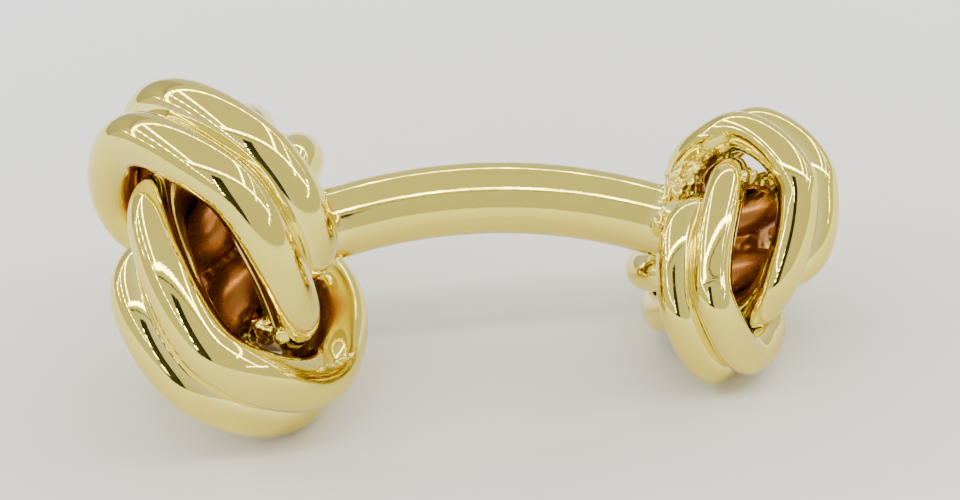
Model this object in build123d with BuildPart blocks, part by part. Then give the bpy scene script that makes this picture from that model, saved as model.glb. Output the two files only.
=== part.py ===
from build123d import *

from math import cos, radians, sin, sqrt, tan
import os

# Knot cufflink: a large and a small knot of doubled round wire, joined by a bowed post
# Millimetres, +Z up. It lies on the plane Z = 0, on two loops of the large knot and one loop of the small knot.

# Large knot, the front of the cufflink. The rise is how far the band swings to each side along the axis.
large_knot_diameter = 13.2
large_knot_rise = 2.48
large_strand_diameter = 1.99

# Small knot, which goes through the buttonholes
small_knot_diameter = 10.0
small_knot_rise = 1.8
small_strand_diameter = 1.43

# The two strands of a band lie a hair apart, with solder between them
strand_gap = 0.03
solder_diameter = 0.6

# Post. Its ends stop short of the middles of the knots, in a bore through the inner passes.
post_diameter = 2.55
post_edge_radius = 0.12
post_clearance = 0.1
post_straight = 0.3
large_end_setback = 0.6
small_end_setback = 1.2

# Distance between the middles of the knots, the angle of each axis to that line, and each knot's turn on its axis
knot_spacing = 17.9
large_knot_droop = 15.8
small_knot_droop = 21.9
large_knot_turn = 70.5
small_knot_turn = -22.2

# A band passes three times over the outside of its knot while it goes twice round the axis
PASSES = 3
ROUNDS = 2
SOLDERS_PER_PASS = 4

# Waves along one pass. "out" is in shares of the swing and "along" in shares of the rise. "lead" is in degrees
# round the axis, and "twist" in degrees that the pair of strands turns round the middle of the band.
LARGE_WAVES = (
    dict(order=1, out=1.00, along=1.00, lead=-17.6, twist=53.0),
    dict(order=2, out=-0.12, along=-0.16, lead=0.4, twist=-24.5),
    dict(order=3, out=0.00, along=0.08, lead=3.7, twist=6.0),
)
SMALL_WAVES = (
    dict(order=1, out=1.00, along=1.00, lead=-27.5, twist=52.5),
    dict(order=2, out=-0.07, along=-0.16, lead=4.6, twist=-28.0),
    dict(order=3, out=0.00, along=0.11, lead=2.5, twist=7.0),
)

# Loops that touch the floor, each with its pass and the side of the band, and a first guess at what is up
LARGE_FEET = ((1, -1), (2, 1))
SMALL_FOOT = (1, 1)
UP_AT_FIRST = (0.0, -0.3, 1.0)

# Steps of the paths and of the search for the feet, in degrees along the band
PATH_STEP = 15.0
FOOT_STEP = 2.5
NUDGE = 0.02
SETTLE_ROUNDS = 8


def knot_shape(diameter, rise, strand_diameter, waves):
    """Radius of the ring that the band winds round and its swing, with the inner passes beside the post."""
    outer = (diameter - strand_diameter) / 2
    inner = post_diameter / 2 + post_clearance + strand_diameter / 2
    odd = sum(wave["out"] for wave in waves if wave["order"] % 2 == 1)
    even = sum(wave["out"] for wave in waves if wave["order"] % 2 == 0)
    swing = (outer - inner) / 2 / odd
    return dict(
        ring=(outer + inner) / 2 - swing * even,
        swing=swing,
        rise=rise,
        strand=strand_diameter / 2,
        spacing=strand_diameter + strand_gap,
        waves=waves,
    )


large = knot_shape(large_knot_diameter, large_knot_rise, large_strand_diameter, LARGE_WAVES)
small = knot_shape(small_knot_diameter, small_knot_rise, small_strand_diameter, SMALL_WAVES)


def wave_sum(knot, column, turn, wave_function):
    """Sum of one column of the waves, at so many degrees along the band."""
    phase = radians(PASSES * turn)
    return sum(wave[column] * wave_function(wave["order"] * phase) for wave in knot["waves"])


def round_axis(knot, turn):
    return radians(ROUNDS * turn + wave_sum(knot, "lead", turn, sin))


def band_point(knot, turn):
    """Middle of the band, with the knot's axis along Z."""
    out = knot["ring"] + knot["swing"] * wave_sum(knot, "out", turn, cos)
    along = knot["rise"] * wave_sum(knot, "along", turn, sin)
    angle = round_axis(knot, turn)
    return Vector(out * cos(angle), out * sin(angle), along)


def strand_point(knot, turn, side):
    """Middle of one strand, to one side of the band or the other."""
    middle = band_point(knot, turn)
    forward = (band_point(knot, turn + NUDGE) - band_point(knot, turn - NUDGE)).normalized()
    phase = radians(PASSES * turn)
    angle = round_axis(knot, turn)
    outward = Vector(cos(phase) * cos(angle), cos(phase) * sin(angle), sin(phase))
    outward = (outward - forward * outward.dot(forward)).normalized()
    twist = radians(wave_sum(knot, "twist", turn, sin))
    across = forward.cross(outward) * cos(twist) - outward * sin(twist)
    return middle + across * side * knot["spacing"] / 2


def strand_node(knot, turn, side):
    """A point of the strand and its direction there."""
    ahead = strand_point(knot, turn + NUDGE, side)
    behind = strand_point(knot, turn - NUDGE, side)
    return strand_point(knot, turn, side), (ahead - behind).normalized()


def arc_pair(start, end):
    """Two arcs that leave the first node and reach the second in its direction, with no kink between them."""
    (first, leaving), (last, arriving) = start, end
    span = last - first
    both = leaving + arriving
    bend = 2 * (1 - leaving.dot(arriving))
    reach = (sqrt(span.dot(both) ** 2 + bend * span.dot(span)) - span.dot(both)) / bend
    before = first + leaving * reach
    after = last - arriving * reach
    middle = (before + after) / 2
    TangentArc(first, middle, tangent=leaving)
    TangentArc(middle, last, tangent=(after - before).normalized())


def strand_pass(knot, side):
    """One pass of a strand, from outside to inside and out again, as a round bar along arcs."""
    steps = round(360 / PASSES / PATH_STEP)
    nodes = [strand_node(knot, 360 / PASSES / steps * step, side) for step in range(steps + 1)]
    with BuildLine() as path:
        for start, end in zip(nodes, nodes[1:]):
            arc_pair(start, end)
    with BuildSketch(Plane(origin=nodes[0][0], z_dir=nodes[0][1])) as section:
        Circle(knot["strand"])
    sweep(sections=section.sketch, path=path.line)


def solder(knot):
    """Beads of solder between the strands, spread evenly along one pass."""
    apart = 360 / PASSES / SOLDERS_PER_PASS
    with Locations([band_point(knot, apart * (bead + 0.5)) for bead in range(SOLDERS_PER_PASS)]):
        Sphere(solder_diameter / 2)


# Frame of the post: it bows upward in the XZ plane, and X is the line from one knot's middle to the other's
large_way = Vector(cos(radians(large_knot_droop)), 0, sin(radians(large_knot_droop)))
small_way = Vector(-cos(radians(small_knot_droop)), 0, sin(radians(small_knot_droop)))
small_middle = Vector(knot_spacing, 0, 0)


def turned(plane, turn):
    return Plane(plane.location * Location((0, 0, 0), (0, 0, turn)))


large_place = turned(Plane(origin=(0, 0, 0), x_dir=(0, -1, 0), z_dir=large_way * -1), large_knot_turn)
small_place = turned(Plane(origin=small_middle, x_dir=(0, 1, 0), z_dir=small_way * -1), small_knot_turn)


def pass_points(knot, place, index, side):
    """Points of one pass of a strand in the frame of the post."""
    span = 360 / PASSES
    turns = [span * (index - 0.5) + FOOT_STEP * step for step in range(round(span / FOOT_STEP))]
    return [place.from_local_coords(strand_point(knot, turn, side)) for turn in turns]


strands = {}
for name, knot, place in (("large", large, large_place), ("small", small, small_place)):
    for index in range(PASSES):
        for side in (1, -1):
            strands[name, index, side] = (pass_points(knot, place, index, side), knot["strand"])

# The three feet give the direction that is up when the cufflink lies still
feet = [strands["large", *foot] for foot in LARGE_FEET] + [strands["small", *SMALL_FOOT]]
up = Vector(*UP_AT_FIRST).normalized()
for settling in range(SETTLE_ROUNDS):
    touch = [min(points, key=up.dot) - up * radius for points, radius in feet]
    square = (touch[1] - touch[0]).cross(touch[2] - touch[0]).normalized()
    up = square if square.dot(up) > 0 else square * -1


def reach(direction):
    """Lowest and highest reach of the knots along a direction."""
    lows = [direction.dot(min(points, key=direction.dot)) - radius for points, radius in strands.values()]
    highs = [direction.dot(max(points, key=direction.dot)) + radius for points, radius in strands.values()]
    return min(lows), max(highs)


# Frame of the floor, below the middle of the cufflink, with X along it
lengthwise = (small_middle - up * up.dot(small_middle)).normalized()
sideways = up.cross(lengthwise)
below = lengthwise * (sum(reach(lengthwise)) / 2) + sideways * (sum(reach(sideways)) / 2) + up * reach(up)[0]
floor = Plane(origin=below, x_dir=lengthwise, z_dir=up)


def lying(plane):
    """A plane of the post's frame, where it is when the cufflink lies on the floor."""
    return Plane(floor.location.inverse() * plane.location)


# The post runs along the axis of each knot at its ends, with one arc between
whole_droop = radians(large_knot_droop + small_knot_droop)
large_apex = knot_spacing * sin(radians(small_knot_droop)) / sin(whole_droop)
small_apex = knot_spacing * sin(radians(large_knot_droop)) / sin(whole_droop)
bend_room = min(large_apex - large_end_setback, small_apex - small_end_setback) - post_straight
post_bend_radius = bend_room / tan(whole_droop / 2)


def bowed_bar(diameter, longer):
    """Round bar along the line of the post, longer by so much at each end."""
    large_end = large_way * (large_end_setback - longer)
    small_end = small_middle + small_way * (small_end_setback - longer)
    corners = [floor.to_local_coords(corner) for corner in (large_end, large_way * large_apex, small_end)]
    with BuildLine() as bow:
        FilletPolyline(*corners, radius=post_bend_radius)
    with BuildSketch(Plane(origin=bow.line @ 0, z_dir=bow.line % 0)) as section:
        Circle(diameter / 2)
    sweep(sections=section.sketch, path=bow.line)


with BuildPart() as post_bore:
    bowed_bar(post_diameter + 2 * post_clearance, post_clearance)

# Large knot: one pass of both strands, three times round the axis
with BuildPart() as large_front_strand:
    strand_pass(large, 1)
with BuildPart() as large_back_strand:
    strand_pass(large, -1)
with BuildPart() as large_pass:
    add(large_front_strand.part)
    add(large_back_strand.part)
    solder(large)
with BuildPart(lying(large_place)) as large_band:
    with PolarLocations(0, PASSES):
        add(large_pass.part)
with BuildPart() as large_knot:
    add(large_band.part)
    add(post_bore.part, mode=Mode.SUBTRACT)

# Small knot, in the same way
with BuildPart() as small_front_strand:
    strand_pass(small, 1)
with BuildPart() as small_back_strand:
    strand_pass(small, -1)
with BuildPart() as small_pass:
    add(small_front_strand.part)
    add(small_back_strand.part)
    solder(small)
with BuildPart(lying(small_place)) as small_band:
    with PolarLocations(0, PASSES):
        add(small_pass.part)
with BuildPart() as small_knot:
    add(small_band.part)
    add(post_bore.part, mode=Mode.SUBTRACT)

# Post, with its end edges broken
with BuildPart() as post:
    bowed_bar(post_diameter, 0)
    fillet(post.faces().filter_by(GeomType.PLANE).edges(), radius=post_edge_radius)

os.makedirs("parts", exist_ok=True)
for name, piece in (("large_knot", large_knot), ("small_knot", small_knot), ("post", post)):
    piece.part.label = name
    export_step(piece.part, f"parts/{name}.step")
    print(name, "solids", len(piece.part.solids()), "volume", round(piece.part.volume, 2), "mm3")
print("post bend radius", round(post_bend_radius, 2), "mm")
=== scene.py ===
from math import cos, pi, radians, sin, sqrt, tan

import bmesh
import bpy
from mathutils import Matrix, Vector, noise
from mathutils.bvhtree import BVHTree
import numpy as np


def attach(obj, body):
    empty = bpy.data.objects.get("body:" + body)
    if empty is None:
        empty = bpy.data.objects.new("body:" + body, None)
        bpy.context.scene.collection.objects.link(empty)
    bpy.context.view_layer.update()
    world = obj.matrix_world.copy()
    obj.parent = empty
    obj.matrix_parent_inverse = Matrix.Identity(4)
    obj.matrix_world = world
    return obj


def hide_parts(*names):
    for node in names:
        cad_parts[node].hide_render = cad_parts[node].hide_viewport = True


# Looks of a gold knot cufflink, lying on a pale floor. Lengths in the tables are millimetres.
MM = 0.001
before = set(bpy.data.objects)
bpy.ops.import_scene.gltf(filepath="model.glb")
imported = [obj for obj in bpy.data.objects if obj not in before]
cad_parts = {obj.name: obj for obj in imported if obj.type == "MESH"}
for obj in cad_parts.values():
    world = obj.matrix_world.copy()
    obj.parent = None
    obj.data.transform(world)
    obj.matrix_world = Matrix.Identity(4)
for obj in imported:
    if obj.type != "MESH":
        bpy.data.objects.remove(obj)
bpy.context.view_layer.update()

# Sizes of the post and of the whole, as in the solids
POST_DIAMETER = 2.55
POST_EDGE = 0.12
POST_STRAIGHT = 0.3
LARGE_SETBACK = 0.6
SMALL_SETBACK = 1.2
KNOT_SPACING = 17.9
LARGE_DROOP = 15.8
SMALL_DROOP = 21.9

# Sizes of the two knots, as in the solids. Waves of the band are in shares of the swing and of the rise, and
# in degrees.
PASSES = 3
ROUNDS = 2
INNER_CLEARANCE = 0.1
LARGE = dict(
    diameter=13.2,
    rise=2.48,
    strand=1.99,
    turn=70.5,
    waves=(
        dict(order=1, out=1.00, along=1.00, lead=-17.6, twist=53.0),
        dict(order=2, out=-0.12, along=-0.16, lead=0.4, twist=-24.5),
        dict(order=3, out=0.00, along=0.08, lead=3.7, twist=6.0),
    ),
)
SMALL = dict(
    diameter=10.0,
    rise=1.8,
    strand=1.43,
    turn=-22.2,
    waves=(
        dict(order=1, out=1.00, along=1.00, lead=-27.5, twist=52.5),
        dict(order=2, out=-0.07, along=-0.16, lead=4.6, twist=-28.0),
        dict(order=3, out=0.00, along=0.11, lead=2.5, twist=7.0),
    ),
)

# The post's own frame as it lies on the floor: along it, across it, and up from the middle of the large knot
ALONG = Vector((0.9959, 0.0, -0.0910)).normalized()
ACROSS = Vector((-0.0222, 0.9698, -0.2428)).normalized()
UPWARD = ALONG.cross(ACROSS).normalized()
LARGE_MIDDLE = Vector((-8.490, -0.056, 5.792))
SMALL_MIDDLE = LARGE_MIDDLE + ALONG * KNOT_SPACING
POST_TURN = Matrix((ALONG, ACROSS, UPWARD)).transposed()
POST_PLACE = Matrix.Translation(LARGE_MIDDLE) @ POST_TURN.to_4x4()

# Directions of the post at its ends, into the span between the knots
LARGE_WAY = ALONG * cos(radians(LARGE_DROOP)) + UPWARD * sin(radians(LARGE_DROOP))
SMALL_WAY = UPWARD * sin(radians(SMALL_DROOP)) - ALONG * cos(radians(SMALL_DROOP))


def knot_matrix(middle, axis, sideways, turn):
    """From the knot's own frame to the world, in millimetres."""
    z = axis.normalized()
    x = (sideways - z * sideways.dot(z)).normalized()
    y = z.cross(x)
    place = Matrix((x, y, z)).transposed().to_4x4()
    place.translation = middle
    return place @ Matrix.Rotation(radians(turn), 4, "Z")


LARGE_PLACE = knot_matrix(LARGE_MIDDLE, -LARGE_WAY, -ACROSS, LARGE["turn"])
SMALL_PLACE = knot_matrix(SMALL_MIDDLE, -SMALL_WAY, ACROSS, SMALL["turn"])


def node(tree, kind, **settings):
    made = tree.nodes.new(kind)
    for key, value in settings.items():
        setattr(made, key, value)
    return made


def feed(tree, socket, value):
    """Links an output to a socket, or sets the socket to a number or a colour."""
    if isinstance(value, bpy.types.NodeSocket):
        tree.links.new(value, socket)
    else:
        socket.default_value = value


def noise_share(tree, place, scale, detail):
    made = node(tree, "ShaderNodeTexNoise")
    for key, value in (("Scale", scale), ("Detail", detail), ("Vector", place)):
        feed(tree, made.inputs[key], value)
    return made.outputs["Fac"]


def mapped(tree, value, from_range, to_range=(0.0, 1.0), **settings):
    """A value brought from one range to another."""
    made = node(tree, "ShaderNodeMapRange", **settings)
    for key, limit in zip(("From Min", "From Max", "To Min", "To Max"), (*from_range, *to_range)):
        feed(tree, made.inputs[key], limit)
    feed(tree, made.inputs["Value"], value)
    return made.outputs["Result"]


def mixed(tree, share, first, second, **settings):
    made = node(tree, "ShaderNodeMixRGB", **settings)
    for key, value in (("Fac", share), ("Color1", first), ("Color2", second)):
        feed(tree, made.inputs[key], value)
    return made.outputs["Color"]


def ramped(tree, value, stops):
    """The colour that a table of positions and colours gives for a value."""
    made = node(tree, "ShaderNodeValToRGB")
    elements = made.color_ramp.elements
    while len(elements) < len(stops):
        elements.new(0.5)
    for element, (position, color) in zip(elements, stops):
        element.position = position
        element.color = (*color, 1.0)
    feed(tree, made.inputs["Fac"], value)
    return made.outputs["Color"]


# Gold in the open and in narrow grooves, where the lighter gold is painted light bounced between the strands,
# and how much of each colour is left as a place lies deeper in a knot, which is painted shade among the
# loops. Deep places are duller and less like metal.
GOLD = (0.775, 0.652, 0.128)
GROOVE_BOUNCE_LIGHT = (0.91, 0.825, 0.30)
GROOVE_SHARE = (0.12, 0.50)
DEEP_PAINTED_SHADE = (
    (0.28, (1.0, 1.0, 1.0)),
    (0.42, (1.06, 0.98, 0.52)),
    (0.54, (0.62, 0.33, 0.22)),
    (0.66, (0.40, 0.165, 0.10)),
)
DEEP_DULL = (0.42, 0.62)
DEEP_ROUGHNESS = 0.24
DEEP_METALLIC = 0.8

# Soft clouds in the colour, and fine marks in the polish that are longer one way than the others
CLOUD_TINT = (0.97, 0.955, 0.92)
CLOUD_SCALE = 420.0
CLOUD_DETAIL = 3.0
MARK_STRETCH = (1.0, 6.0, 3.0)
MARK_DETAIL = 4.0
MARK_SHARE = (0.35, 0.7)
MARK_DEPTH = 0.02


def gold(name, groove_light_color, rough, mark_scale, relief):
    """Polished gold with fine marks: lighter in narrow grooves with painted bounce light, dull and red deep
    among the loops with painted shade.
    """
    material = bpy.data.materials.new(name)
    material.use_nodes = True
    tree = material.node_tree
    shader = tree.nodes["Principled BSDF"]
    place = node(tree, "ShaderNodeTexCoord").outputs["Object"]
    deep = node(tree, "ShaderNodeAttribute", attribute_name="deep").outputs["Fac"]
    groove = node(tree, "ShaderNodeAttribute", attribute_name="groove").outputs["Fac"]
    clouds = noise_share(tree, place, CLOUD_SCALE, CLOUD_DETAIL)
    stretch = node(tree, "ShaderNodeMapping")
    feed(tree, stretch.inputs["Scale"], MARK_STRETCH)
    feed(tree, stretch.inputs["Vector"], place)
    marks = noise_share(tree, stretch.outputs["Vector"], mark_scale, MARK_DETAIL)

    # polish
    roughness = node(tree, "ShaderNodeMath", operation="ADD")
    feed(tree, roughness.inputs[0], mapped(tree, marks, MARK_SHARE, rough))
    feed(tree, roughness.inputs[1], mapped(tree, deep, DEEP_DULL, (0.0, DEEP_ROUGHNESS)))
    feed(tree, shader.inputs["Roughness"], roughness.outputs["Value"])
    feed(tree, shader.inputs["Metallic"], mapped(tree, deep, DEEP_DULL, (1.0, DEEP_METALLIC)))

    # colour, with painted bounce light in narrow grooves and painted shade deep in a knot
    groove_lit = mixed(tree, mapped(tree, groove, GROOVE_SHARE), (*GOLD, 1.0), (*groove_light_color, 1.0))
    deep_shaded = mixed(tree, 1.0, groove_lit, ramped(tree, deep, DEEP_PAINTED_SHADE), blend_type="MULTIPLY")
    cloudy = mixed(tree, clouds, deep_shaded, (*CLOUD_TINT, 1.0), blend_type="MULTIPLY")
    feed(tree, shader.inputs["Base Color"], cloudy)

    # relief of the marks
    bump = node(tree, "ShaderNodeBump")
    for key, value in (("Strength", relief), ("Distance", MARK_DEPTH * MM), ("Height", marks)):
        feed(tree, bump.inputs[key], value)
    feed(tree, shader.inputs["Normal"], bump.outputs["Normal"])
    return material


knot_gold = gold("knot_gold", GROOVE_BOUNCE_LIGHT, rough=(0.03, 0.07), mark_scale=2600.0, relief=0.05)
post_gold = gold("post_gold", GROOVE_BOUNCE_LIGHT, rough=(0.04, 0.09), mark_scale=3200.0, relief=0.08)
solder_gold = gold("solder_gold", GOLD, rough=(0.08, 0.20), mark_scale=2600.0, relief=0.6)


# Lines of the band and of its strands, as in the solids
def wave_sum(knot, column, turns, wave_function):
    phase = np.radians(PASSES * turns)
    return sum(wave[column] * wave_function(wave["order"] * phase) for wave in knot["waves"])


def band_line(knot, turns):
    """Points of the middle of the band, with the knot's axis along Z, and their angles round it."""
    outer = (knot["diameter"] - knot["strand"]) / 2
    inner = POST_DIAMETER / 2 + INNER_CLEARANCE + knot["strand"] / 2
    odd = sum(wave["out"] for wave in knot["waves"] if wave["order"] % 2 == 1)
    even = sum(wave["out"] for wave in knot["waves"] if wave["order"] % 2 == 0)
    swing = (outer - inner) / 2 / odd
    ring = (outer + inner) / 2 - swing * even
    out = ring + swing * wave_sum(knot, "out", turns, np.cos)
    angle = np.radians(ROUNDS * turns + wave_sum(knot, "lead", turns, np.sin))
    along = knot["rise"] * wave_sum(knot, "along", turns, np.sin)
    return np.stack([out * np.cos(angle), out * np.sin(angle), along], axis=1), angle


def unit(rows):
    return rows / np.linalg.norm(rows, axis=1, keepdims=True)


def directions(line):
    """Direction of a closed line at each of its points."""
    return unit(np.roll(line, -1, axis=0) - np.roll(line, 1, axis=0))


def squared(rows, forward):
    """Rows turned square to the directions of a line."""
    return unit(rows - forward * np.sum(forward * rows, axis=1, keepdims=True))


def strand_line(knot, steps, side):
    """Closed line of one strand, and a direction square to the band at each point."""
    turns = np.arange(steps) * 360.0 / steps
    middle, angle = band_line(knot, turns)
    forward = directions(middle)
    phase = np.radians(PASSES * turns)
    outward = np.stack([np.cos(phase) * np.cos(angle), np.cos(phase) * np.sin(angle), np.sin(phase)], axis=1)
    outward = squared(outward, forward)
    twist = np.radians(wave_sum(knot, "twist", turns, np.sin))[:, None]
    across = np.cross(forward, outward) * np.cos(twist) - outward * np.sin(twist)
    return middle + across * side * knot["strand"] / 2, across


def placed(matrix, rows):
    """Rows of points, in metres in the world."""
    turn = np.array(matrix.to_3x3())
    return (rows @ turn.T + np.array(matrix.translation)) * MM


def joined(parts):
    """Corners and faces of several meshes as one."""
    counts = np.cumsum([0] + [len(corners) for corners, faces in parts])
    corners = np.concatenate([corners for corners, faces in parts])
    faces = np.concatenate([faces + count for (corners, faces), count in zip(parts, counts)])
    return corners, faces


def mesh_object(name, corners, faces, material, smooth=True):
    mesh = bpy.data.meshes.new(name)
    mesh.from_pydata(corners.tolist(), [], faces)
    mesh.update()
    mesh.polygons.foreach_set("use_smooth", [smooth] * len(mesh.polygons))
    mesh.materials.append(material)
    made = bpy.data.objects.new(name, mesh)
    bpy.context.scene.collection.objects.link(made)
    return made


def round_bar(line, first, second, radii, sides, closed):
    """Corners and faces of a round bar along a line, from two directions square to it at each point."""
    angles = (np.arange(sides) * 2 * pi / sides)[None, :, None]
    ring = np.cos(angles) * first[:, None, :] + np.sin(angles) * second[:, None, :]
    corners = (line[:, None, :] + radii[:, None, None] * ring).reshape(-1, 3)
    steps = len(line) if closed else len(line) - 1
    step, side = np.meshgrid(np.arange(steps), np.arange(sides), indexing="ij")
    here, after = step * sides, (step + 1) % len(line) * sides
    beside = (side + 1) % sides
    faces = np.stack([here + side, here + beside, after + beside, after + side], axis=-1)
    return corners, faces.reshape(-1, 4)


# How finely the bars are divided
LARGE_STEPS = 540
SMALL_STEPS = 450
STRAND_SIDES = 64
POST_STEPS = 160
POST_SIDES = 96


def knot_object(name, knot, place, steps, material):
    """Both strands of a knot in one mesh."""
    strands = []
    for side in (1, -1):
        line, across = strand_line(knot, steps, side)
        forward = directions(line)
        first = squared(across, forward)
        radii = np.full(steps, knot["strand"] / 2)
        strands.append(round_bar(line, first, np.cross(forward, first), radii, STRAND_SIDES, closed=True))
    corners, faces = joined(strands)
    return mesh_object(name, placed(place, corners), faces.tolist(), material)


large_knot = knot_object("large_knot_gold", LARGE, LARGE_PLACE, LARGE_STEPS, knot_gold)
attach(large_knot, "root")
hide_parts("large_knot")

small_knot = knot_object("small_knot_gold", SMALL, SMALL_PLACE, SMALL_STEPS, knot_gold)
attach(small_knot, "root")
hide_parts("small_knot")

# Post: along each knot's axis at its ends, with one arc between
DROOP = radians(LARGE_DROOP + SMALL_DROOP)
LARGE_APEX = KNOT_SPACING * sin(radians(SMALL_DROOP)) / sin(DROOP)
SMALL_APEX = KNOT_SPACING * sin(radians(LARGE_DROOP)) / sin(DROOP)
BEND_ROOM = min(LARGE_APEX - LARGE_SETBACK, SMALL_APEX - SMALL_SETBACK) - POST_STRAIGHT
BEND_RADIUS = BEND_ROOM / tan(DROOP / 2)


def post_line(steps):
    """Points of the post's middle line in its own XZ plane, and its slope at each."""
    before, after = LARGE_APEX - BEND_ROOM - LARGE_SETBACK, SMALL_APEX - BEND_ROOM - SMALL_SETBACK
    distance = np.linspace(0, before + BEND_RADIUS * DROOP + after, steps)
    bent = np.clip((distance - before) / BEND_RADIUS, 0, DROOP)
    slope = radians(LARGE_DROOP) - bent
    middle = (slope[1:] + slope[:-1]) / 2
    stride = np.diff(distance)
    start = LARGE_SETBACK * np.array([cos(radians(LARGE_DROOP)), sin(radians(LARGE_DROOP))])
    x = start[0] + np.concatenate([[0], np.cumsum(stride * np.cos(middle))])
    z = start[1] + np.concatenate([[0], np.cumsum(stride * np.sin(middle))])
    return np.stack([x, 0 * x, z], axis=1), slope


def post_object(name, material):
    """Round bar along the post's line, with a narrow bevel at each end."""
    line, slope = post_line(POST_STEPS)
    normal = np.stack([-np.sin(slope), 0 * slope, np.cos(slope)], axis=1)
    sideways = np.array([[0.0, 1.0, 0.0]])
    radii = np.full(POST_STEPS, POST_DIAMETER / 2)
    radii[[0, -1]] -= POST_EDGE
    corners, faces = round_bar(line, normal, sideways, radii, POST_SIDES, closed=False)
    # the ring turns the other way than a strand's, so the order round each face is turned too
    faces = faces[:, [0, 3, 2, 1]]
    around = np.arange(POST_SIDES)
    onward = (around + 1) % POST_SIDES
    last_ring = len(corners) - POST_SIDES
    first_end, last_end = np.full(POST_SIDES, len(corners)), np.full(POST_SIDES, len(corners) + 1)
    caps = np.concatenate([
        np.stack([first_end, around, onward], axis=1),
        np.stack([last_end, last_ring + onward, last_ring + around], axis=1),
    ])
    corners = np.concatenate([corners, line[[0, -1]]])
    return mesh_object(name, placed(POST_PLACE, corners), faces.tolist() + caps.tolist(), material)


post = post_object("post_gold", post_gold)
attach(post, "root")
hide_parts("post")

# Grains of solder in the crevices: how near to another bar or to the post they lie, how far they may sink
# into metal and stand off the strand, how far apart they are, their radii, and within which shares of the
# knot's size they lie
SOLDER_REACH = 0.30
POST_REACH = 0.34
SOLDER_SINK = 0.05
SOLDER_LIFT = 0.08
SOLDER_APART = 0.24
SOLDER_RADII = (0.15, 0.29)
SOLDER_SHARES = (0.50, 0.68)

# The search for their places: how many are tried, in what batches, and how finely the bars are followed. A
# bar counts as another one when it is at least 25 degrees further along the band and lies across the first.
SOLDER_TRIES = 26000
SOLDER_BATCH = 2000
STRAND_POINTS = 360
POST_POINTS = 200
OWN_STRETCH = 25
CROSSING = 0.86

# Gap that stands for no other bar, and a direction that no strand runs along
FAR_OFF = 9.0
OBLIQUE = np.array([0.3, 0.5, 0.8])

# Solder inside each knot, round the end of the post, as radius and half length. It also closes the knot's
# middle, where the painted deep shade makes the dark inside of the knot's holes.
LARGE_CORE = (2.0, 1.7)
SMALL_CORE = (1.7, 1.25)

# Runs of solder that bridge two loops, in the frame of the knot: how many lumps a run has, their radius, and
# the passes of the band that have it. The lumps stray and vary by shares of that radius.
LARGE_BRIDGES = (
    dict(start=(-1.30, -2.70, -0.30), end=(-0.77, -3.94, -0.85), lumps=7, size=0.52, passes=(0, 1, 2)),
    dict(start=(-0.77, -3.94, -0.85), end=(-0.75, -4.44, -1.26), lumps=5, size=0.34, passes=(0, 1, 2)),
    dict(start=(-2.36, -4.88, -2.17), end=(-3.12, -3.51, -3.36), lumps=16, size=0.13, passes=(0, 1, 2)),
)
SMALL_BRIDGES = (
    dict(start=(-2.84, 1.95, -1.06), end=(-1.81, 2.31, 0.32), lumps=8, size=0.34, passes=(0, 1, 2)),
    dict(start=(-1.81, 2.31, 0.32), end=(-0.87, 2.38, 0.12), lumps=5, size=0.34, passes=(0, 1, 2)),
    dict(start=(0.57, 1.72, -2.87), end=(0.30, 1.86, -1.74), lumps=10, size=0.21, passes=(0, 1)),
    dict(start=(-1.22, -0.34, -3.05), end=(-0.95, 0.80, -2.95), lumps=9, size=0.22, passes=(0,)),
    dict(start=(-0.95, 0.80, -2.95), end=(-0.15, 1.95, -2.60), lumps=9, size=0.25, passes=(0,)),
    dict(start=(-0.85, 0.95, -2.60), end=(-0.40, 2.05, -2.12), lumps=9, size=0.27, passes=(0,)),
)
RUN_WANDER = 0.4
RUN_RADII = (0.7, 1.15)

# Each lump is a ball that is stretched and crinkled: its least height, and the scale and height of wide and
# narrow crinkles. The lump inside the knot is crinkled less.
LUMP_STRETCH = (0.75, 1.2)
LUMP_LEAST = 0.88
LUMP_WIDE = (1.3, 0.42)
LUMP_NARROW = (3.1, 0.12)
LUMP_SEED = 3.7
COARSE_BELOW = 0.24
CORE_LEAST = 0.9
CORE_CRINKLE = (2.5, 0.12)

# Size of the small cubes that the lumps are fused in, and the crinkles of their common skin
SOLDER_VOXEL = 0.06
SOLDER_EVENINGS = 3
CRINKLE_SCALE = 3.5
CRINKLE_HEIGHT = 0.09


def ball(subdivisions):
    """Corners and triangles of a ball of radius one."""
    made = bmesh.new()
    bmesh.ops.create_icosphere(made, subdivisions=subdivisions, radius=1.0)
    corners = np.array([corner.co for corner in made.verts])
    faces = np.array([[corner.index for corner in face.verts] for face in made.faces])
    made.free()
    return corners, faces


BALLS = dict(coarse=ball(2), middle=ball(3), fine=ball(5))


def strand_points(knot, place):
    """Points of both strands of a knot in the world, their directions, and their degrees along the band."""
    rows = []
    for side in (1, -1):
        line = placed(place, strand_line(knot, STRAND_POINTS, side)[0]) / MM
        rows.append((line, directions(line), np.arange(STRAND_POINTS) * 360.0 / STRAND_POINTS))
    return [np.concatenate(column) for column in zip(*rows)]


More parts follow.
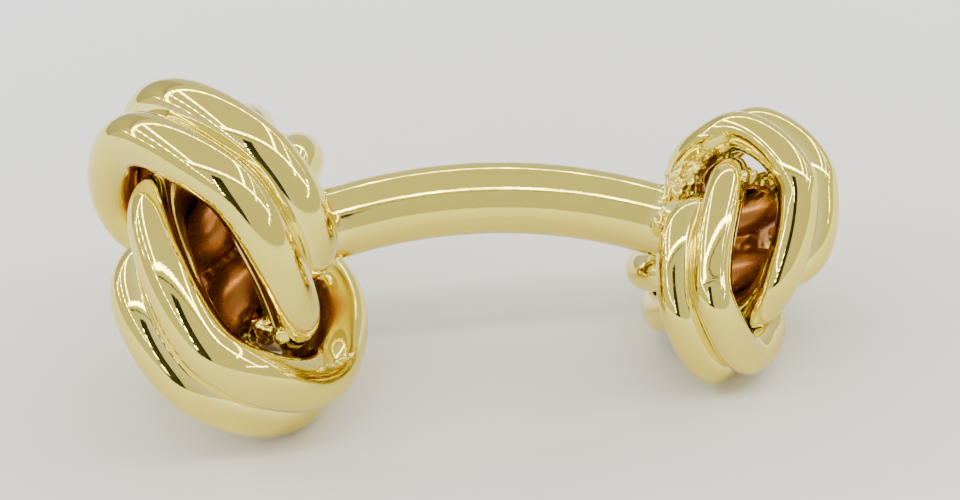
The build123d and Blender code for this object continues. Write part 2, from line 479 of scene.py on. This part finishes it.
def grain_places(knot, place, random):
    """Places in the crevices where one pass of the band crosses another, or meets the post."""
    radius = knot["strand"] / 2
    line, forward, turn = strand_points(knot, place)
    bar = placed(POST_PLACE, post_line(POST_POINTS)[0]) / MM
    pick = random.integers(len(line), size=SOLDER_TRIES)
    angle = random.uniform(0, 2 * pi, SOLDER_TRIES)
    first = unit(np.cross(forward[pick], OBLIQUE))
    second = np.cross(forward[pick], first)
    outward = np.cos(angle)[:, None] * first + np.sin(angle)[:, None] * second
    spots = line[pick] + outward * (radius + random.uniform(0.0, SOLDER_LIFT, SOLDER_TRIES))[:, None]
    near = np.full(SOLDER_TRIES, False)
    for begin in range(0, SOLDER_TRIES, SOLDER_BATCH):
        batch = slice(begin, begin + SOLDER_BATCH)
        own = pick[batch]
        gap = np.linalg.norm(spots[batch, None, :] - line[None, :, :], axis=2) - radius
        away = np.abs((turn[own, None] - turn[None, :] + 180) % 360 - 180)
        crossing = np.abs(np.sum(forward[own, None, :] * forward[None, :, :], axis=2)) < CROSSING
        gap[(away < OWN_STRETCH) | ~crossing] = FAR_OFF
        beside = gap.min(axis=1)
        to_post = np.linalg.norm(spots[batch, None, :] - bar[None, :, :], axis=2)
        post_gap = to_post.min(axis=1) - POST_DIAMETER / 2
        in_crevice = (beside > -SOLDER_SINK) & (beside < SOLDER_REACH)
        near[batch] = (post_gap > -SOLDER_SINK) & (in_crevice | (post_gap < POST_REACH))
    return spots[near]


def thinned(spots):
    """As many of the places as lie apart from each other."""
    kept = []
    for index, spot in enumerate(spots):
        if all(np.abs(spot - spots[other]).max() > SOLDER_APART for other in kept):
            kept.append(index)
    return spots[kept]


def depth_share(knot, place, rows):
    """Distance of each point from the knot's middle, in shares of the knot's own size."""
    local = (rows - np.array(place.translation)) @ np.array(place.to_3x3())
    flat = (local[:, 0] ** 2 + local[:, 1] ** 2) / (knot["diameter"] / 2) ** 2
    return np.sqrt(flat + (local[:, 2] / (knot["rise"] + knot["strand"])) ** 2)


def crinkled(ways, seed):
    """Heights of a crinkled skin in each direction, about one."""
    wide = np.array([abs(noise.noise(Vector(way * LUMP_WIDE[0] + seed))) for way in ways])
    narrow = np.array([abs(noise.noise(Vector(way * LUMP_NARROW[0] - seed))) for way in ways])
    return LUMP_LEAST + LUMP_WIDE[1] * wide + LUMP_NARROW[1] * narrow


def fused(corners, faces):
    """One skin round lumps that run into each other, crinkled a little, in millimetres."""
    lumps = bpy.data.meshes.new("lumps")
    lumps.from_pydata(corners.tolist(), [], faces.tolist())
    holder = bpy.data.objects.new("lumps", lumps)
    bpy.context.scene.collection.objects.link(holder)
    fuse = holder.modifiers.new("fuse", "REMESH")
    fuse.mode = "VOXEL"
    fuse.voxel_size = SOLDER_VOXEL
    even = holder.modifiers.new("even", "SMOOTH")
    even.iterations = SOLDER_EVENINGS
    skin = bpy.data.meshes.new_from_object(holder.evaluated_get(bpy.context.evaluated_depsgraph_get()))
    places = np.array([corner.co for corner in skin.vertices])
    ways = np.array([corner.normal for corner in skin.vertices])
    quads = np.array([tuple(face.vertices) for face in skin.polygons])
    crinkle = np.array([noise.noise(Vector(place * CRINKLE_SCALE)) for place in places])
    bpy.data.objects.remove(holder)
    bpy.data.meshes.remove(skin)
    bpy.data.meshes.remove(lumps)
    return places + ways * crinkle[:, None] * CRINKLE_HEIGHT, quads


def solder_object(name, knot, place, core, bridges, seed):
    """Crinkled lumps of solder in the crevices, on the bridges and inside the knot, joined in one mesh."""
    random = np.random.default_rng(seed)
    spots = grain_places(knot, place, random)
    share = depth_share(knot, place, spots)
    spots = thinned(spots[(share > SOLDER_SHARES[0]) & (share < SOLDER_SHARES[1])])
    sizes = random.uniform(*SOLDER_RADII, len(spots))
    for bridge in bridges:
        start, end = np.array(bridge["start"]), np.array(bridge["end"])
        row = start + (end - start) * np.linspace(0, 1, bridge["lumps"])[:, None]
        for index in bridge["passes"]:
            turned_place = place @ Matrix.Rotation(2 * pi * index / PASSES, 4, "Z")
            wander = random.uniform(-RUN_WANDER, RUN_WANDER, row.shape) * bridge["size"]
            spots = np.concatenate([spots, placed(turned_place, row + wander) / MM])
            sizes = np.concatenate([sizes, bridge["size"] * random.uniform(*RUN_RADII, len(row))])
    lumps = []
    for index, (spot, size) in enumerate(zip(spots, sizes)):
        corners, faces = BALLS["coarse" if size < COARSE_BELOW else "middle"]
        stretch = size * random.uniform(*LUMP_STRETCH, 3)
        lumps.append((spot + corners * stretch * crinkled(corners, LUMP_SEED * index)[:, None], faces))
    corners, faces = BALLS["fine"]
    radius, half_length = core
    lump = corners * np.array([radius, radius, half_length])
    lump *= (CORE_LEAST + CORE_CRINKLE[1] * crinkled(corners * CORE_CRINKLE[0], seed))[:, None]
    lumps.append((placed(place, lump) / MM, faces))
    corners, faces = fused(*joined(lumps))
    made = mesh_object(name, corners * MM, faces.tolist(), solder_gold)
    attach(made, "root")
    return made


large_solder = solder_object("large_knot_solder", LARGE, LARGE_PLACE, LARGE_CORE, LARGE_BRIDGES, seed=3)
small_solder = solder_object("small_knot_solder", SMALL, SMALL_PLACE, SMALL_CORE, SMALL_BRIDGES, seed=4)

# How much of the view of each point is blocked by metal, beside it in a groove or further off across the
# knot, which the gold turns into painted bounce light and painted shade
VIEW_RAYS = 36
VIEW_REACH = 12.0
VIEW_LIFT = 0.03
GROOVE_REACH = (0.5, 2.0)
EVENINGS = 8

# Shares of a knot's size within which a strand or the solder counts as inside the knot, how much that adds to
# the painted deep shade, and how much of the solder's blocked view counts
STRAND_INSIDE = (0.56, 0.68)
SOLDER_INSIDE = (0.36, 0.46)
INSIDE_SHADE_WEIGHT = 0.45
SOLDER_VIEW = 0.6


def ray_fan(count):
    """Directions spread over a half ball round Z, more of them near Z."""
    index = np.arange(count) + 0.5
    height = np.sqrt(1 - index / count)
    angle = index * pi * (1 + sqrt(5))
    flat = np.sqrt(1 - height ** 2)
    return np.stack([flat * np.cos(angle), flat * np.sin(angle), height], axis=1)


def smoothed(mesh, values):
    """Values of the corners, evened out along the edges."""
    edges = np.empty(len(mesh.edges) * 2, dtype=np.int32)
    mesh.edges.foreach_get("vertices", edges)
    first, second = edges.reshape(-1, 2).T
    total = len(mesh.vertices)
    count = np.bincount(first, minlength=total) + np.bincount(second, minlength=total)
    for evening in range(EVENINGS):
        beside = np.bincount(first, values[second], total) + np.bincount(second, values[first], total)
        values = (values + beside / np.maximum(count, 1)) / 2
    return values


def metal_tree(pieces):
    """All faces of the pieces, to cast rays at."""
    corners, faces = [], []
    for piece in pieces:
        count = len(corners)
        corners += [corner.co.copy() for corner in piece.data.vertices]
        faces += [[corner + count for corner in face.vertices] for face in piece.data.polygons]
    return BVHTree.FromPolygons(corners, faces)


def blocked_shares(mesh, metal, stride):
    """Shares of each corner's view that are blocked far off and near by, looked at from every few corners."""
    fan = ray_fan(VIEW_RAYS)
    near, far = (reach * MM for reach in GROOVE_REACH)
    known = np.arange(0, len(mesh.vertices), stride)
    deep, groove = np.zeros(len(known)), np.zeros(len(known))
    for row, index in enumerate(known):
        corner = mesh.vertices[int(index)]
        way = corner.normal.to_track_quat("Z", "Y").to_matrix()
        start = corner.co + corner.normal * VIEW_LIFT * MM
        found = [metal.ray_cast(start, Vector(ray), VIEW_REACH * MM)[3] for ray in fan @ np.array(way).T]
        distance = np.array([value for value in found if value is not None])
        across = np.clip((distance - near) / (far - near), 0, 1)
        deep[row] = across.sum() / VIEW_RAYS
        groove[row] = (1 - across).sum() / VIEW_RAYS
    everywhere = np.arange(len(mesh.vertices))
    return [smoothed(mesh, np.interp(everywhere, known, share)) for share in (deep, groove)]


def write_view(metal, piece, stride, counts=1.0, knot=None, place=None, inside=None):
    """Writes the blocked shares of each corner's view as the attributes deep and groove, which the gold
    paints as shade and as bounce light.
    """
    mesh = piece.data
    deep, groove = blocked_shares(mesh, metal, stride)
    deep = deep * counts
    if inside:
        rows = np.array([corner.co for corner in mesh.vertices]) / MM
        share = depth_share(knot, place, rows)
        deep = deep + INSIDE_SHADE_WEIGHT * np.clip((inside[1] - share) / (inside[1] - inside[0]), 0, 1)
    for name, values in (("deep", deep), ("groove", groove)):
        mesh.attributes.new(name, "FLOAT", "POINT").data.foreach_set("value", values.astype(np.float32))


large = dict(knot=LARGE, place=LARGE_PLACE)
small = dict(knot=SMALL, place=SMALL_PLACE)
metal = metal_tree((large_knot, small_knot, post, large_solder, small_solder))
write_view(metal, large_knot, stride=3, **large, inside=STRAND_INSIDE)
write_view(metal, small_knot, stride=3, **small, inside=STRAND_INSIDE)
write_view(metal, post, stride=3)
write_view(metal, large_solder, stride=4, counts=SOLDER_VIEW, **large, inside=SOLDER_INSIDE)
write_view(metal, small_solder, stride=4, counts=SOLDER_VIEW, **small, inside=SOLDER_INSIDE)


def plain_material(name, color, roughness):
    material = bpy.data.materials.new(name)
    material.use_nodes = True
    shader = material.node_tree.nodes["Principled BSDF"]
    shader.inputs["Base Color"].default_value = (*color, 1.0)
    shader.inputs["Roughness"].default_value = roughness
    return material


def glowing_material(name, color, strength):
    material = plain_material(name, (0.0, 0.0, 0.0), 1.0)
    shader = material.node_tree.nodes["Principled BSDF"]
    shader.inputs["Emission Color"].default_value = (*color, 1.0)
    shader.inputs["Emission Strength"].default_value = strength
    return material


def staged(name, corners, material):
    """Flat sheets around the cufflink that aren't part of it, one from every four corners."""
    faces = np.arange(len(corners)).reshape(-1, 4).tolist()
    made = mesh_object(name, np.array(corners) * MM, faces, material, smooth=False)


SQUARE = ((-1, -1), (1, -1), (1, 1), (-1, 1))


def rectangle(middle, ahead, beside, half_length, half_width):
    return [middle + ahead * a * half_length + beside * b * half_width for a, b in SQUARE]


# Floor of white paper, with a painted warm shadow: warmer and a little darker within some millimetres of the
# cufflink's middle
FLOOR_REACH = 1200.0
FLOOR_ROUGHNESS = 0.8
PAPER_PAINTED_SHADOW = (0.73, 0.71, 0.65)
PAPER_FAR = (0.785, 0.82, 0.845)
PAPER_CHANGE = (6.0, 50.0)
paper = plain_material("floor_paper", PAPER_FAR, FLOOR_ROUGHNESS)
paper_tree = paper.node_tree
distance = node(paper_tree, "ShaderNodeVectorMath", operation="LENGTH")
feed(paper_tree, distance.inputs[0], node(paper_tree, "ShaderNodeTexCoord").outputs["Object"])
change = [reach * MM for reach in PAPER_CHANGE]
away = mapped(paper_tree, distance.outputs["Value"], change, interpolation_type="SMOOTHSTEP")
paper_color = mixed(paper_tree, away, (*PAPER_PAINTED_SHADOW, 1.0), (*PAPER_FAR, 1.0))
feed(paper_tree, paper_tree.nodes["Principled BSDF"].inputs["Base Color"], paper_color)
staged("floor", [(x * FLOOR_REACH, y * FLOOR_REACH, 0.0) for x, y in SQUARE], paper)

# Light strips under the lid of the light box, rows of small lamps behind a milky cover, and their images in
# the silver side walls. Each row: both ends on the plan, the width, and how bright the cover and the lamps
# are. The pitch and the size of the lamps are in widths of their strip.
STRIP_HEIGHT = 200.0
LAMP_PITCH = 2.0
LAMP_SHARE = 0.8
LAMP_DROP = Vector((0, 0, 0.5))
STRIPS = (
    dict(name="back", start=(-258, 230), end=(258, 230), width=22, cover=12, lamps=30),
    dict(name="front", start=(-258, -111), end=(258, -111), width=22, cover=12, lamps=30),
    dict(name="left", start=(-185, -111), end=(-185, 230), width=20, cover=12, lamps=30),
    dict(name="right", start=(185, -111), end=(185, 230), width=20, cover=12, lamps=30),
    dict(name="back_left", start=(-775, 230), end=(-258, 230), width=26, cover=9, lamps=30),
    dict(name="back_right", start=(258, 230), end=(775, 230), width=22, cover=4, lamps=15),
    dict(name="front_right", start=(258, -111), end=(775, -111), width=30, cover=10, lamps=30),
    dict(name="left_image", start=(-331, -500), end=(-331, 230), width=22, cover=4, lamps=45),
    dict(name="right_image", start=(331, -200), end=(331, 230), width=20, cover=4, lamps=30),
    dict(name="left_far", start=(-701, 0), end=(-701, 700), width=46, cover=3, lamps=45),
    dict(name="right_far", start=(701, -500), end=(701, 100), width=46, cover=3, lamps=45),
)
STRIP_COLOR = (1.0, 0.98, 0.94)


def light_strip(name, start, end, width, cover, lamps):
    first, last = Vector((*start, STRIP_HEIGHT)), Vector((*end, STRIP_HEIGHT))
    run = last - first
    ahead = run.normalized()
    beside = Vector((-ahead.y, ahead.x, 0))
    strip = rectangle((first + last) / 2, ahead, beside, run.length / 2, width / 2)
    staged(f"strip_{name}", strip, glowing_material(f"glow_{name}", STRIP_COLOR, cover))
    count = int(run.length / (LAMP_PITCH * width))
    half = LAMP_SHARE * width / 2
    corners = []
    for lamp in range(count):
        corners += rectangle(first + run * (lamp + 0.5) / count - LAMP_DROP, ahead, beside, half, half)
    staged(f"lamps_{name}", corners, glowing_material(f"lamp_glow_{name}", STRIP_COLOR, lamps))


for strip in STRIPS:
    light_strip(**strip)

# A string of small lamps that hangs in front of the open side of the box
HANGING_COUNT = 5
HANGING_TOP = Vector((-146.0, -262.0, 176.0))
HANGING_STEP = Vector((3.0, 0.0, -33.0))
HANGING_SIZE = 8.0
HANGING_GLOW = 30
hanging = []
for lamp in range(HANGING_COUNT):
    middle = HANGING_TOP + HANGING_STEP * lamp
    hanging += rectangle(middle, Vector((1, 0, 0)), Vector((0, 0, 1)), HANGING_SIZE, HANGING_SIZE)
staged("hanging_lamps", hanging, glowing_material("hanging_glow", STRIP_COLOR, HANGING_GLOW))

# Dark shape in front of the open side of the box, and the gap between the front strip and the lid
DARK_COLOR = (0.01, 0.01, 0.01)
DARK_ROUGHNESS = 0.9
DARK_SHAPE = ((-185, -320, 0), (-45, -320, 0), (-45, -320, 330), (-185, -320, 330))
LID_GAP = (
    (-258, -146, STRIP_HEIGHT),
    (258, -149, STRIP_HEIGHT),
    (258, -152, STRIP_HEIGHT),
    (-258, -156, STRIP_HEIGHT),
)
dark = plain_material("dark_room", DARK_COLOR, DARK_ROUGHNESS)
staged("dark_shape", DARK_SHAPE, dark)
staged("lid_gap", LID_GAP, dark)

# Darker corner of the box, behind on the left, beside the sheet that makes the backdrop
GREY_COLOR = (0.30, 0.29, 0.27)
DARK_CORNER = ((-430, 260, 0), (-80, 330, 0), (-80, 330, 170), (-430, 260, 230))
grey = plain_material("grey_corner", GREY_COLOR, DARK_ROUGHNESS)
staged("dark_corner", DARK_CORNER, grey)

# Soft light from the walls and the lid of the box, from level to straight above
BOX_COLORS = ((0.5, (0.93, 0.92, 0.90)), (1.0, (1.0, 1.0, 1.0)))
BOX_LIGHT = 1.1
world = bpy.data.worlds.new("light_box")
bpy.context.scene.world = world
world.use_nodes = True
sky = world.node_tree
split = node(sky, "ShaderNodeSeparateXYZ")
feed(sky, split.inputs["Vector"], node(sky, "ShaderNodeTexCoord").outputs["Generated"])
height = mapped(sky, split.outputs["Z"], (-1.0, 1.0))
feed(sky, sky.nodes["Background"].inputs["Color"], ramped(sky, height, BOX_COLORS))
feed(sky, sky.nodes["Background"].inputs["Strength"], BOX_LIGHT)

# Camera, at the photograph's angle to the post's own frame, with the cufflink larger in the picture
CAMERA_YAW = 3.268
CAMERA_PITCH = 16.592
CAMERA_DISTANCE = 170.0
CAMERA_NEAREST = 10.0
FRAME_PIXELS = 960
PIXELS_PER_MM = 17.6
CLOSER = 1.6


def camera_axes():
    """Right, up and back of the camera, in the world."""
    turn = Matrix.Rotation(radians(CAMERA_PITCH), 3, "X") @ Matrix.Rotation(radians(CAMERA_YAW), 3, "Y")
    # the post's own axes in the camera's frame
    seen = Matrix([turn @ Vector(axis) for axis in ((1, 0, 0), (0, 0, -1), (0, 1, 0))])
    return POST_TURN @ seen


camera_data = bpy.data.cameras.new("camera")
camera = bpy.data.objects.new("camera", camera_data)
bpy.context.scene.collection.objects.link(camera)
bpy.context.scene.camera = camera
camera_data.lens = PIXELS_PER_MM * CAMERA_DISTANCE * CLOSER / FRAME_PIXELS * camera_data.sensor_width
camera_data.clip_start = CAMERA_NEAREST * MM
axes = camera_axes()
target = (LARGE_MIDDLE + SMALL_MIDDLE) / 2
camera.matrix_world = Matrix.Translation((target + axes.col[2] * CAMERA_DISTANCE) * MM) @ axes.to_4x4()
